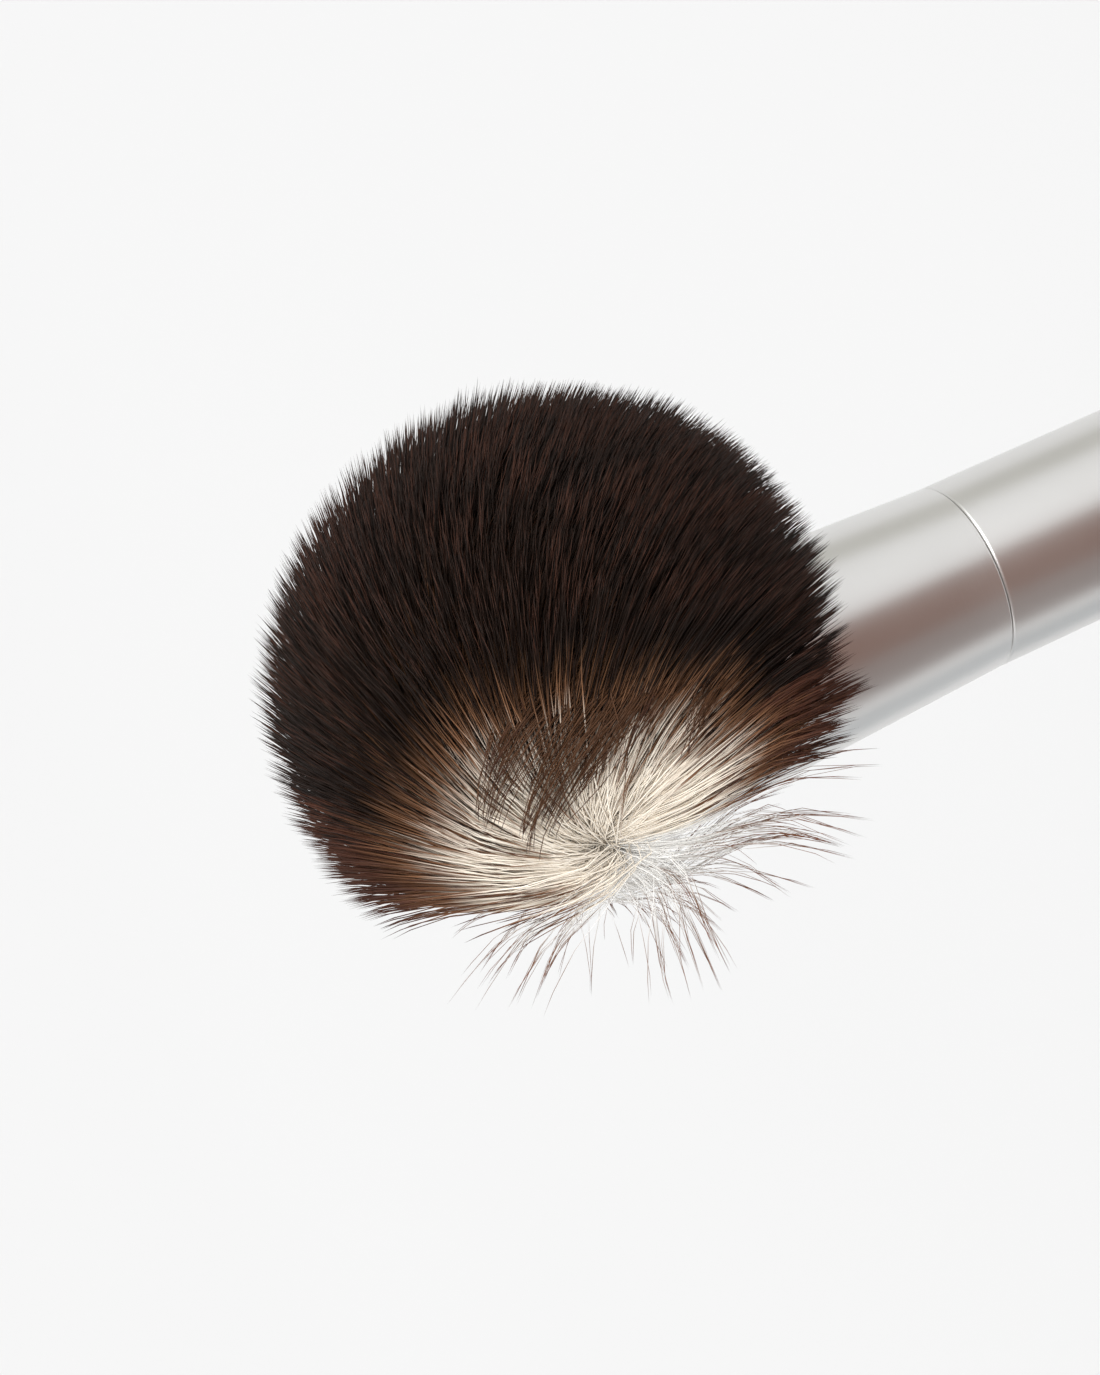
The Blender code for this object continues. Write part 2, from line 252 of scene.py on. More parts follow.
def anodised_aluminium(name, tone, roughness):
    """Clear anodised aluminium, bead blasted, then sealed.

    Blasting leaves fine pits that spread a reflection into a broad satin band. The pits are
    about 0.05 mm, too fine to show, so they are drawn at about 0.25 mm. Faint turning marks
    under the blasting run round the piece.
    """
    material, tree, shader = principled(name, Metallic=1.0)
    place = node(tree, "ShaderNodeTexCoord").outputs["Object"]
    cloud = node(tree, "ShaderNodeTexNoise", {"Vector": place, "Scale": 60.0, "Detail": 3.0})
    tones = node(
        tree,
        "ShaderNodeValToRGB",
        {"Fac": cloud.outputs["Fac"]},
        [(0.35, shaded(tone, 0.955)), (0.65, tone)],
    )
    sheen = node(
        tree,
        "ShaderNodeMapRange",
        {"Value": cloud.outputs["Fac"], "To Min": roughness - 0.03, "To Max": roughness + 0.04},
    )
    pits = node(tree, "ShaderNodeTexNoise", {"Vector": place, "Scale": 4000.0, "Detail": 2.0})
    squeezed = node(tree, "ShaderNodeMapping", {"Vector": place, "Scale": (40.0, 40.0, 5200.0)})
    marks = node(tree, "ShaderNodeTexNoise", {"Vector": squeezed.outputs["Vector"], "Scale": 1.0})
    relief = node(
        tree,
        "ShaderNodeMath",
        {0: pits.outputs["Fac"], 1: marks.outputs["Fac"]},
        operation="ADD",
    )
    bump = node(
        tree,
        "ShaderNodeBump",
        {"Height": relief.outputs["Value"], "Strength": 0.12, "Distance": 0.02 * MM},
    )
    finish = {
        "Base Color": tones.outputs["Color"],
        "Roughness": sheen.outputs["Result"],
        "Normal": bump.outputs["Normal"],
    }
    wire(tree, shader, finish)
    return material


def turned_steel():
    """Plain turned steel: a dull grey bar with fine tool marks round it, 0.2 mm apart."""
    material, tree, shader = principled("turned mild steel", Metallic=1.0, Roughness=0.42)
    place = node(tree, "ShaderNodeTexCoord").outputs["Object"]
    marks = node(
        tree,
        "ShaderNodeTexWave",
        {"Vector": place, "Scale": 800.0, "Distortion": 0.6, "Detail": 1.0},
        bands_direction="Z",
    )
    tones = node(
        tree,
        "ShaderNodeValToRGB",
        {"Fac": marks.outputs["Fac"]},
        [(0.2, linear("#8C8C8E")), (0.8, linear("#A5A5A6"))],
    )
    bump = node(
        tree,
        "ShaderNodeBump",
        {"Height": marks.outputs["Fac"], "Strength": 0.3, "Distance": 0.02 * MM},
    )
    wire(tree, shader, {"Base Color": tones.outputs["Color"], "Normal": bump.outputs["Normal"]})
    return material


def turned_beech():
    """Bare beech, turned: pinkish tan with long grain and the short dark flecks of its rays."""
    material, tree, shader = principled("turned beech", Roughness=0.62)
    place = node(tree, "ShaderNodeTexCoord").outputs["Object"]
    along = node(tree, "ShaderNodeMapping", {"Vector": place, "Scale": (1.0, 1.0, 0.08)})
    grain = node(
        tree,
        "ShaderNodeTexNoise",
        {"Vector": along.outputs["Vector"], "Scale": 900.0, "Detail": 6.0},
    )
    tones = node(
        tree,
        "ShaderNodeValToRGB",
        {"Fac": grain.outputs["Fac"]},
        [(0.3, linear("#B98A5C")), (0.55, linear("#CFA677")), (0.75, linear("#DDB88A"))],
    )
    bump = node(
        tree,
        "ShaderNodeBump",
        {"Height": grain.outputs["Fac"], "Strength": 0.25, "Distance": 0.05 * MM},
    )
    wire(tree, shader, {"Base Color": tones.outputs["Color"], "Normal": bump.outputs["Normal"]})
    return material


def cast_epoxy():
    """Amber epoxy cast round the hair's root: slightly glossy, with pale hair ends set in it.

    The ends are 0.08 mm across and are drawn at about 0.2 mm so that they show.
    """
    material, tree, shader = principled("cast epoxy with hair ends", Roughness=0.32, IOR=1.55)
    place = node(tree, "ShaderNodeTexCoord").outputs["Object"]
    ends = node(tree, "ShaderNodeTexVoronoi", {"Vector": place, "Scale": 5000.0})
    tones = node(
        tree,
        "ShaderNodeValToRGB",
        {"Fac": ends.outputs["Distance"]},
        [(0.1, linear("#E2D8C2")), (0.5, linear("#B7A27A")), (0.8, linear("#8E7448"))],
    )
    bump = node(
        tree,
        "ShaderNodeBump",
        {"Height": ends.outputs["Distance"], "Strength": 0.3, "Distance": 0.04 * MM},
    )
    wire(tree, shader, {"Base Color": tones.outputs["Color"], "Normal": bump.outputs["Normal"]})
    return material


def cotton_thread():
    """Waxed cotton thread: off-white, with the fine slanting twist of its plies."""
    material, tree, shader = principled("waxed cotton thread", Roughness=0.78, Sheen_Weight=0.3)
    place = node(tree, "ShaderNodeTexCoord").outputs["Object"]
    slant = node(tree, "ShaderNodeMapping", {"Vector": place, "Rotation": (0.0, 0.0, 0.6)})
    plies = node(
        tree,
        "ShaderNodeTexWave",
        {"Vector": slant.outputs["Vector"], "Scale": 700.0, "Distortion": 2.0},
    )
    tones = node(
        tree,
        "ShaderNodeValToRGB",
        {"Fac": plies.outputs["Fac"]},
        [(0.2, linear("#CFC8B8")), (0.8, linear("#ECE7DA"))],
    )
    bump = node(
        tree,
        "ShaderNodeBump",
        {"Height": plies.outputs["Fac"], "Strength": 0.5, "Distance": 0.05 * MM},
    )
    wire(tree, shader, {"Base Color": tones.outputs["Color"], "Normal": bump.outputs["Normal"]})
    return material


def goat_hair(finish, settings, root, cream_end, wander, dark):
    """Soft natural goat hair, cream near the root and brown to the tip, with painted shade at the
    root.

    The map's V runs along a hair from root to tip, and U tells the locks apart, so the cream
    ends sooner in one lock than in the next. Hair is a fine clear fibre, so it keeps a low
    sheen along the comb lines.
    """
    material, tree, shader = principled(
        f"soft goat hair, {finish}", Roughness=0.5, IOR=1.5, Specular_IOR_Level=0.2
    )
    chart = node(tree, "ShaderNodeUVMap", uv_map=UV_NAME)
    spread = node(tree, "ShaderNodeSeparateXYZ", {0: chart.outputs["UV"]})
    along, lock = spread.outputs["Y"], spread.outputs["X"]
    place = node(tree, "ShaderNodeCombineXYZ", {"X": lock}).outputs["Vector"]
    shift = node(
        tree,
        "ShaderNodeTexNoise",
        {"Vector": place, "Scale": 61.0, "Detail": 3.0, "Roughness": 0.8},
    )
    moved = node(
        tree,
        "ShaderNodeMapRange",
        {
            "Value": shift.outputs["Fac"],
            "From Min": 0.2,
            "From Max": 0.8,
            "To Min": -wander,
            "To Max": wander,
        },
    )
    level = node(
        tree, "ShaderNodeMath", {0: along, 1: moved.outputs["Result"]}, operation="ADD"
    )
    # Painted shade: where the hairs leave the mouth, in the crevice at the whorl, the root colour
    # is drawn at half its brightness
    stops = [
        (0.06, shaded(root, 0.5)),
        (0.2, shaded(root, 0.96)),
        (cream_end - 0.12, tuple(root)),
        (cream_end + 0.05, settings.turning),
        (cream_end + 0.2, dark),
        (0.95, shaded(dark, 0.9)),
        (1.0, settings.tip),
    ]
    tone = node(tree, "ShaderNodeValToRGB", {"Fac": level.outputs["Value"]}, stops)
    streak = node(tree, "ShaderNodeTexNoise", {"Vector": place, "Scale": 173.0, "Detail": 0.0})
    gain = node(
        tree,
        "ShaderNodeMapRange",
        {
            "Value": streak.outputs["Fac"],
            "From Min": 0.3,
            "From Max": 0.7,
            "To Min": 0.88,
            "To Max": 1.12,
        },
    )
    varied = node(
        tree,
        "ShaderNodeVectorMath",
        {0: tone.outputs["Color"], "Scale": gain.outputs["Result"]},
        operation="SCALE",
    )
    tree.links.new(varied.outputs["Vector"], shader.inputs["Base Color"])
    return material


def unit_heading(degrees):
    """The X and Y of a heading, from its angle from +X towards +Y."""
    return np.array([math.cos(math.radians(degrees)), math.sin(math.radians(degrees))])


# Hair: the bundle fills the ferrule's mouth, swells into a dome over it and opens into a ball
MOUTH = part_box("ferrule")[1][2]
BUNDLE_RADIUS = 6.76 * MM
ROOT_BELOW_MOUTH = 1.5 * MM
DOME_RIM_RADIUS = 7.85 * MM
DOME_RIM_RISE = 0.4 * MM
DOME_ANGLE = math.radians(62)
DOME_SHARE = 0.3
BALL_BELOW_MOUTH = 3.6 * MM
FOLD_LONG_SIDE = math.radians(164)
FOLD_SHORT_SIDE = math.radians(128)
FOLD_PACE = 0.85
TIP_FLARE = 3.3 * MM

# The parting's middle, as a reach and an azimuth, in the root and among the tips, and its oval
PARTING_ROOT = (0.93, math.radians(222))
PARTING_TIPS = (0.6, math.radians(234))
PARTING_DEPTH = 0.52
PARTING_WIDTH = 0.5
PARTING_AT_RIM = 0.8
SWIRL = math.radians(50)

# A hair's rings, as shares of its length, and its diameter there, as shares of the widest
HAIR_SHARES = np.array([0.02, 0.2, 0.34, 0.48, 0.63, 0.79, 0.915, 0.975, 1.0])
WIDTH_STOPS = ((0.0, 0.3, 0.7, 0.975, 1.0), (0.75, 0.95, 1.0, 0.78, 0.1))
HAIR_SIDES = 3
HAIR_PIECE = 4200
LOCK_COLUMNS = 96

# Where the tips lie: labels reach this far, crowd towards the rim, and keep inside the limit
SEED = 20
LABEL_REACH = 0.985
LABEL_CROWDING = 0.46
LABEL_LIMIT = 0.99
LABEL_JITTER = 0.05
RIM_HAIRS = 13000
RIM_BIAS = (0.0, -0.7)

# How unlike the hairs are: shares of their length, and their own lean and wave at the tip
HAIR_UNEVEN = 0.006
HAIR_SHORTEST = 0.22
HAIR_LEAN = 0.17 * MM
HAIR_WAVE = 0.16 * MM

# How far hairs are drawn to their tuft's or lock's middle, from least to most
TUFTS = 300
TUFT_PULL = (0.0, 0.1)
LOCK_PULL = (0.05, 0.3)
SHORT_SIDE_PULL = 0.75
FRINGE_PULL = 0.6

# Each kind of lock's spread of length, as a share, and of lean
TUFT_HABITS = (0.004, 0.17 * MM)
LOCK_HABITS = (0.004, 0.13 * MM)
FRINGE_HABITS = (0.03, 1.0 * MM)
WISP_HABITS = (0.02, 0.3 * MM)

# The dense hair's edge on the short side, and the russet ends beside it
EDGE_AT_MOUTH = -5.8 * MM
EDGE_OUTWARDS = 5.4 * MM
EDGE_RAGGED = 0.5 * MM
RUSSET_SIDE = np.array([-0.91, 0.14, 0.39])
RUSSET_FROM = 3.0 * MM
RUSSET_BAND = 4.5 * MM

# The fringe: how far past the edge it starts, how many locks show, and a hair's chance and width
FRINGE_FROM = -0.5 * MM
FRINGE_LOCKS = 110
FRINGE_CHANCE = 0.22
FRINGE_WIDTH = 0.48

# Each loose wisp's tip over the parting, as its reach and degrees from the parting's middle
WISPS = (
    (0.31, 24),
    (0.2, 31),
    (0.23, 6),
    (0.14, 8),
    (0.24, -26),
    (0.38, 8),
    (0.3, -62),
    (0.36, -40),
)
WISP_HAIRS = 26
WISP_WIDTH = 0.8

# The wisps' hairs rise this far from the parting's middle, to just under the ball's skin. From
# the laid share of their length on they lie over along the heading, at most the rise higher
WISP_BODIES = 0.6
WISP_HEADING = unit_heading(131)
LAID_SHARE = 0.62
UNDER_SKIN = 0.86
LAID_RISE = 0.03


def polar_point(place):
    """A (reach, azimuth) pair as X and Y."""
    return place[0] * np.array([math.cos(place[1]), math.sin(place[1])])


def to_rim(origin, heading):
    """Distance from a point in the unit disc to its rim: -o.d + sqrt((o.d)^2 - o.o + 1)."""
    along = (heading * origin).sum(-1, keepdims=True)
    return -along + np.sqrt(along**2 - (origin * origin).sum(-1, keepdims=True) + 1)


def parting_hole(middle, heading, amount):
    """Radius of the parting's oval hole along a heading, kept inside the rim."""
    axis = polar_point((1.0, PARTING_TIPS[1]))
    outwards = (heading * axis).sum(-1, keepdims=True)
    across = (heading * np.array([-axis[1], axis[0]])).sum(-1, keepdims=True)
    hole = amount / np.hypot(outwards / PARTING_DEPTH, across / PARTING_WIDTH)
    return np.minimum(hole, PARTING_AT_RIM * to_rim(middle, heading))


def parting_flow(tips, amount, swirl):
    """Labels of the hairs on their way from the root, at amount 0, to their tips, at amount 1.

    A label is a hair's place in the bundle, as X and Y over the bundle's radius. Each hair
    keeps its share s of the way from the parting to the rim. With m the parting's middle,
    which moves from its place in the root to its place among the tips as amount^1.35, d the
    hair's heading from it and R(d) the distance to the rim, the label is
    m + d (hole(d) + (R(d) - hole(d)) s). The heading turns by swirl (1 - amount)^1.5.
    """
    start, end = polar_point(PARTING_ROOT), polar_point(PARTING_TIPS)
    away = tips - end
    reach = np.linalg.norm(away, axis=-1, keepdims=True)
    heading = away / np.maximum(reach, 1e-9)
    hole = parting_hole(end, heading, 1.0)
    share = (reach - hole) / (to_rim(end, heading) - hole)
    amount = amount[..., None]
    turn = swirl * np.maximum(1 - amount, 0) ** 1.5
    across = np.stack([-heading[..., 1], heading[..., 0]], -1)
    heading = np.cos(turn) * heading + np.sin(turn) * across
    middle = start + amount**1.35 * (end - start)
    hole = parting_hole(middle, heading, amount)
    return middle + heading * (hole + (to_rim(middle, heading) - hole) * share)


def outside_parting(tips):
    """Which tips' labels lie past the parting's hole."""
    away = tips - polar_point(PARTING_TIPS)
    reach = np.linalg.norm(away, axis=-1, keepdims=True)
    return (reach > parting_hole(polar_point(PARTING_TIPS), away / reach, 1.0))[:, 0]


def hair_places(settings, labels, shares):
    """Points of the hairs, for labels and shares of their length on one grid.

    At each share the points lie on one curved sheet: p = c + r (sin q h, cos q), with h the
    label's heading and cos q = 1 - (1 - cos w) |label|^2. The sheet starts flat on the root,
    swells into a dome over the mouth, and grows into the ball, while its middle c, radius r
    and widest angle w change with the share. Near the tips r grows faster, so they stand out.
    """
    lift = np.clip(shares / DOME_SHARE, 0.001, 1.0)
    growth = np.maximum(shares - DOME_SHARE, 0.0) / (1 - DOME_SHARE)
    reach = np.linalg.norm(labels, axis=-1)
    heading = labels / np.maximum(reach, 1e-9)[..., None]
    fold = FOLD_SHORT_SIDE + (FOLD_LONG_SIDE - FOLD_SHORT_SIDE) * np.sqrt((1 + heading[..., 0]) / 2)
    widest = lift * DOME_ANGLE + growth**FOLD_PACE * (fold - DOME_ANGLE)
    polar = np.arccos(np.clip(1 - (1 - np.cos(widest)) * reach**2, -1, 1))
    dome = DOME_RIM_RADIUS / math.sin(DOME_ANGLE)
    dome_below = dome * math.cos(DOME_ANGLE) - DOME_RIM_RISE
    flat = BUNDLE_RADIUS + lift * (dome * DOME_ANGLE - BUNDLE_RADIUS)
    grown = dome + growth * (settings.ball - TIP_FLARE - dome) + TIP_FLARE * growth**9
    radius = np.where(growth > 0, grown, flat / (lift * DOME_ANGLE))
    root = MOUTH - ROOT_BELOW_MOUTH
    peak = root + lift * (MOUTH - dome_below + dome - root)
    below = dome_below + growth * (BALL_BELOW_MOUTH - dome_below)
    height = np.where(growth > 0, MOUTH - below, peak - radius)
    middle = np.stack([growth * settings.lean, 0 * growth, height], -1)
    level = np.sin(polar)[..., None] * heading
    return middle + radius[..., None] * np.concatenate([level, np.cos(polar)[..., None]], -1)


def sunflower(count, reach, power=0.5):
    """Points that fill a disc: distance reach ((i + 1/2) / n)^power, turned 137.5 degrees each.

    They lie evenly at a power of 1/2, and closer together towards the rim below it.
    """
    numbers = np.arange(count)
    away = reach * ((numbers + 0.5) / count) ** power
    turn = numbers * math.pi * (3 - math.sqrt(5))
    return np.stack([away * np.cos(turn), away * np.sin(turn)], 1)


def nearest(points, seeds):
    """For each point, the number of its nearest seed."""
    found = np.empty(len(points), int)
    for start in range(0, len(points), 2000):
        block = points[start : start + 2000]
        found[start : start + 2000] = ((block[:, None] - seeds[None]) ** 2).sum(-1).argmin(1)
    return found


def smooth_step(low, high, values):
    """0 below low, 1 above high, and an S-curve 3t^2 - 2t^3 between them."""
    t = np.clip((values - low) / (high - low), 0, 1)
    return t * t * (3 - 2 * t)


def unit(vectors):
    """Vectors scaled to length 1."""
    return vectors / np.maximum(np.linalg.norm(vectors, axis=-1, keepdims=True), 1e-12)


def clear_of_ferrule(points):
    """Points pushed straight out of the ferrule's wall, to 0.12 mm off it, where they fell in."""
    low, high = (np.array(corner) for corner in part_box("ferrule"))
    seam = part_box("handle_tube")[1][0]
    share = np.clip((points[..., 2] - low[2]) / (high[2] - low[2]), 0, 1)
    wall = seam + (high[0] - seam) * share + 0.12 * MM
    away = np.linalg.norm(points[..., :2], axis=-1)
    sunk = (points[..., 2] < MOUTH) & (away < wall) & (away > BUNDLE_RADIUS + 0.2 * MM)
    push = np.where(sunk, wall / np.maximum(away, 1e-9), 1.0)
    points = points.copy()
    points[..., :2] *= push[..., None]
    return points


def hair_tubes(name, paths, widths, columns, random, material):
    """Three-sided tapered hairs along paths of points.

    Corner k of ring j is p_j + w_j / 2 (cos a_k s_j + sin a_k (t_j x s_j)), a_k = 120 k
    degrees, where t is the hair's heading and s is one steady direction made square to it. The
    last ring closes in the tip. V runs along the hair and each side has a third of its U column.
    """
    count, rings = paths.shape[:2]
    tangents = unit(np.gradient(paths, axis=1))
    steady = random.normal(size=(count, 1, 3))
    sides = unit(steady - (steady * tangents).sum(-1, keepdims=True) * tangents)
    others = np.cross(tangents, sides)
    angles = np.arange(HAIR_SIDES) * 2 * math.pi / HAIR_SIDES
    around = (
        np.cos(angles)[:, None] * sides[:, :, None] + np.sin(angles)[:, None] * others[:, :, None]
    )
    body = paths[:, :-1, None] + widths[:, :-1, None, None] / 2 * around[:, :-1]
    points = np.concatenate([body.reshape(count, -1, 3), paths[:, -1:]], 1)
    size = points.shape[1]

    ring = np.arange(rings - 2)[:, None] * HAIR_SIDES
    side = np.arange(HAIR_SIDES)
    after = (side + 1) % HAIR_SIDES
    lower, upper = ring, ring + HAIR_SIDES
    quads = np.stack([lower + side, lower + after, upper + after, upper + side], -1).reshape(-1, 4)
    last = (rings - 2) * HAIR_SIDES
    tips = np.stack([last + side, last + after, np.full(HAIR_SIDES, size - 1)], -1)
    foot = side[None, ::-1]
    shift = np.arange(count)[:, None, None] * size
    faces = [
        (quads + shift).reshape(-1, 4),
        (tips + shift).reshape(-1, 3),
        (foot + shift).reshape(-1, 3),
    ]

    lengths = np.linalg.norm(np.diff(paths, axis=1), axis=-1)
    run = np.concatenate([np.zeros((count, 1)), np.cumsum(lengths, 1)], 1)
    along = np.clip(run / run[:, -1:], 0.0, 1.0)
    # A tenth of each column stays clear on both of its sides
    left = (columns[:, None] + 0.1 + 0.8 * side / HAIR_SIDES) / LOCK_COLUMNS
    right = (columns[:, None] + 0.1 + 0.8 * (side + 1) / HAIR_SIDES) / LOCK_COLUMNS
    low = along[:, :-2, None] + 0 * left[:, None]
    high = along[:, 1:-1, None] + 0 * left[:, None]
    near, far = left[:, None] + 0 * low, right[:, None] + 0 * low
    quad_map = np.stack([near, low, far, low, far, high, near, high], -1).reshape(-1, 2)
    base = along[:, -2, None] + 0 * left
    peak = 0 * left + 1
    tip_map = np.stack([left, base, right, base, (left + right) / 2, peak], -1).reshape(-1, 2)
    zero = 0 * left[:, 0]
    foot_map = np.stack([right[:, 2], zero, left[:, 0], zero, left[:, 1], 0.004 + zero], -1)
    maps = np.concatenate([quad_map, tip_map, foot_map.reshape(-1, 2)])
    return put(name, points.reshape(-1, 3), faces, material, maps)


def hair_widths(settings, paths, random):
    """Diameters along each hair: a slim root, a full belly and a fine tip."""
    shape = np.interp(HAIR_SHARES, *WIDTH_STOPS)
    each = random.uniform(0.75, 1.1, (len(paths), 1))
    return settings.width * each * shape


def sparse_side(points):
    """How far points lie past the dense hair's edge on the short side, in metres.

    The edge is at X = -5.8 mm beside the mouth, and from 2 to 10 mm above it moves out to -11.2.
    """
    rise = smooth_step(2 * MM, 10 * MM, points[..., 2] - MOUTH)
    return EDGE_AT_MOUTH - EDGE_OUTWARDS * rise - points[..., 0]


def inside_rim(labels):
    """Labels brought back to just inside the bundle's rim, where they lie past it."""
    return labels / np.maximum(np.linalg.norm(labels, axis=-1, keepdims=True) / LABEL_LIMIT, 1.0)


def scattered_tips(count, random):
    """Tips' labels outside the parting: a sunflower, and more hairs near the rim.

    Those near the rim have evenly random headings, moved by RIM_BIAS towards -Y.
    """
    tips = sunflower(count, LABEL_REACH, LABEL_CROWDING) + random.normal(0, 0.004, (count, 2))
    headings = unit(random.normal(size=(RIM_HAIRS, 2)) + RIM_BIAS)
    ring = headings * np.sqrt(random.uniform(0.6, 0.98, (RIM_HAIRS, 1)))
    tips = inside_rim(np.concatenate([tips, ring]))
    return tips[outside_parting(tips)]


def drawn_to(tips, count, pull, random):
    """Tips' labels drawn part of the way to the nearest of some even seeds, and its number."""
    seeds = sunflower(count, LABEL_REACH)
    locks = nearest(tips, seeds)
    shares = random.uniform(*pull, count)[locks, None]
    return tips + shares * (seeds[locks] - tips), locks


def lock_habits(count, locks, habits, random):
    """For each hair, its lock's own change of length and its lock's own lean."""
    length, lean = habits
    return random.normal(0, length, count)[locks], random.normal(0, lean, (count, 3))[locks]


def drape(labels):
    """Shares at which laid-over hairs stand off the parting's slope.

    The slope rises with d, a label's distance from the parting's middle over the oval's radius
    there, and the hairs lie at a growth of 0.7 d + 0.5.
    """
    away = labels - polar_point(PARTING_TIPS)
    reach = np.linalg.norm(away, axis=-1, keepdims=True)
    slope = reach / parting_hole(polar_point(PARTING_TIPS), away / np.maximum(reach, 1e-9), 1.0)
    return DOME_SHARE + (1 - DOME_SHARE) * (0.7 * slope[..., 0] + 0.5)


def grow(settings, tips, habits, random, loose=1.0, swirl=SWIRL, reach=1.0, bodies=None):
    """Hair paths to the tips' labels: uneven in length, leaning with their locks, a little wavy.

    The lock's lean, the hair's own lean and one slow wave grow with the share. Given bodies,
    hairs rise to those labels, to just under the ball's skin, and from LAID_SHARE on they lie
    over to the tips and sink towards the parting's slope.
    """
    count = len(tips)
    length, lean = (sum(parts) for parts in zip(*habits))
    loose = np.full((count, 1), 1.0) * loose
    uneven = np.abs(random.normal(0, HAIR_UNEVEN, count))
    short = HAIR_SHORTEST * random.random(count) ** 4
    end = 1.01 * reach + loose[:, 0] * length - uneven - short
    shares = HAIR_SHARES * end[:, None]
    over = np.zeros_like(shares)
    if bodies is None:
        bodies = tips
    else:
        over = np.maximum(shares - LAID_SHARE, 0) / (1 - LAID_SHARE)
        shares = UNDER_SKIN * np.minimum(shares / LAID_SHARE, 1)
    late = np.maximum(shares - DOME_SHARE, 0) / (1 - DOME_SHARE)
    labels = parting_flow(bodies[:, None], late, swirl)
    labels = labels + over[..., None] * (tips - bodies)[:, None]
    shares = shares + over * np.minimum(drape(labels) - UNDER_SKIN, LAID_RISE)
    jitter = random.normal(0, LABEL_JITTER, (count, 1, 2))
    labels = inside_rim(labels + jitter * np.maximum(1 - late, 0)[..., None])
    paths = hair_places(settings, labels, shares)
    own_lean = random.normal(0, HAIR_LEAN * loose, (count, 3))
    wave_side = unit(random.normal(size=(count, 1, 3)))
    phase = random.uniform(0, 2 * math.pi, (count, 1))
    turns = random.uniform(0.5, 1.1, (count, 1))
    wave = np.sin(phase + turns * 2 * math.pi * shares) - np.sin(phase)
    wave = wave * np.minimum(late * 2, 1)
    paths += (late**1.5)[..., None] * (own_lean + loose * lean)[:, None]
    paths += wave[..., None] * wave_side * HAIR_WAVE * loose[..., None]
    return clear_of_ferrule(paths)


def dense_side(paths, past, apart, random):
    """Which hairs stay in the dense tuft, where past is how far a tip lies past its edge.

    From 1.2 mm inside the edge to 2 mm past it ever fewer stay. At +Y, none stays whose outer
    half bulges 0.8 mm past the edge, which moves out by another 3.5 mm up to 5 mm over the
    mouth.
    """
    chance = 1 - smooth_step(-1.2 * MM, 2.0 * MM, past)
    kept = random.random(len(paths)) < chance * (1 - 0.3 * apart)
    outer = paths[:, len(HAIR_SHARES) // 2 :]
    bulge = sparse_side(outer) - 3.5 * MM * smooth_step(0, 5 * MM, outer[..., 2] - MOUTH)
    return kept & ((bulge.max(axis=1) < 0.8 * MM) | (paths[:, -1, 1] < 0))


def root_face(material):
    """The glued face that the hair rises from: a flat disc under the ferrule's mouth."""
    radius = BUNDLE_RADIUS + 0.75 * MM
    top = MOUTH - ROOT_BELOW_MOUTH
    bottom = top - 1.4 * MM
    profile = [(0, top), (radius * 0.6, top), (radius, top), (radius, bottom), (0, bottom)]
    return turned("root_face", profile, 96, material)


def hair_fringe(settings, tips, ends, locks, random, material):
    """The fringe: a few pale hairs of some of the locks past the edge, half drawn together."""
    shown = random.choice(np.unique(locks), FRINGE_LOCKS, replace=False)
    picked = np.isin(locks, shown) & (random.random(len(locks)) < FRINGE_CHANCE)
    tips, ends, locks = tips[picked], ends[picked], locks[picked]
    ends = tips + FRINGE_PULL * (ends - tips)
    habits = [lock_habits(settings.locks, locks, FRINGE_HABITS, random)]
    paths = grow(settings, ends, habits, random, loose=0.3, swirl=0.0, reach=1.03)
    widths = hair_widths(settings, paths, random) * FRINGE_WIDTH
    columns = random.integers(0, LOCK_COLUMNS, len(paths))
    return hair_tubes("hair_fringe", paths, widths, columns, random, material)


def hair_wisps(settings, random, material):
    """The loose wisps: each one's hairs rise near the parting's rim and lie over to its tip."""
    middle = polar_point(PARTING_TIPS)
    ends = np.array([away * unit_heading(turn) for away, turn in WISPS])
    back = WISP_BODIES * to_rim(ends / WISP_BODIES, -WISP_HEADING)
    starts = ends - back * WISP_HEADING
    number = np.repeat(np.arange(len(WISPS)), WISP_HAIRS)
    spread = random.normal(0, 1, (len(number), 2))
    bodies = middle + starts[number] + 0.05 * spread
    tips = middle + ends[number] + 0.003 * spread
    habits = [lock_habits(len(WISPS), number, WISP_HABITS, random)]
    paths = grow(settings, tips, habits, random, loose=0.2, bodies=bodies)
    widths = hair_widths(settings, paths, random) * WISP_WIDTH
    columns = number * 7 % LOCK_COLUMNS
    return hair_tubes("hair_wisps", paths, widths, columns, random, material)


# Metalwork
FERRULE_WALL = 0.5 * MM
FERRULE_EDGE = 0.12 * MM
SEAM_GAP = 0.06 * MM
TUBE_WALL = 0.8 * MM
TUBE_EDGE = 0.25 * MM
CAP_GAP = 0.3 * MM
CAP_EDGE = 0.15 * MM
BUTT_EDGE = 0.7 * MM
SPIGOT_PLAY = 0.3 * MM
SPIGOT_CHAMFER = 0.2 * MM
GROOVE_DEPTH = 0.4 * MM
GROOVE_HALF = 0.6 * MM


def ferrule_shell(around, material):
    """The ferrule: a straight flare, with a full-round lip at the mouth and a rounded seam."""
    bottom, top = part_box("ferrule")
    seam_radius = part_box("handle_tube")[1][0]
    flare = (top[0] - seam_radius) / (top[2] - bottom[2])

    def outside(height):
        return seam_radius + flare * (height - bottom[2])

    lip, edge = FERRULE_WALL / 2, FERRULE_EDGE
    profile = [
        *rounded(outside(top[2] - lip) - lip, top[2] - lip, lip, 180, 0, 16),
        *rounded(outside(bottom[2]) - edge, bottom[2] + edge, edge, 0, -90),
        (outside(bottom[2]) - FERRULE_WALL, bottom[2]),
    ]
    return turned("ferrule_shell", profile, around, material, closed=True)


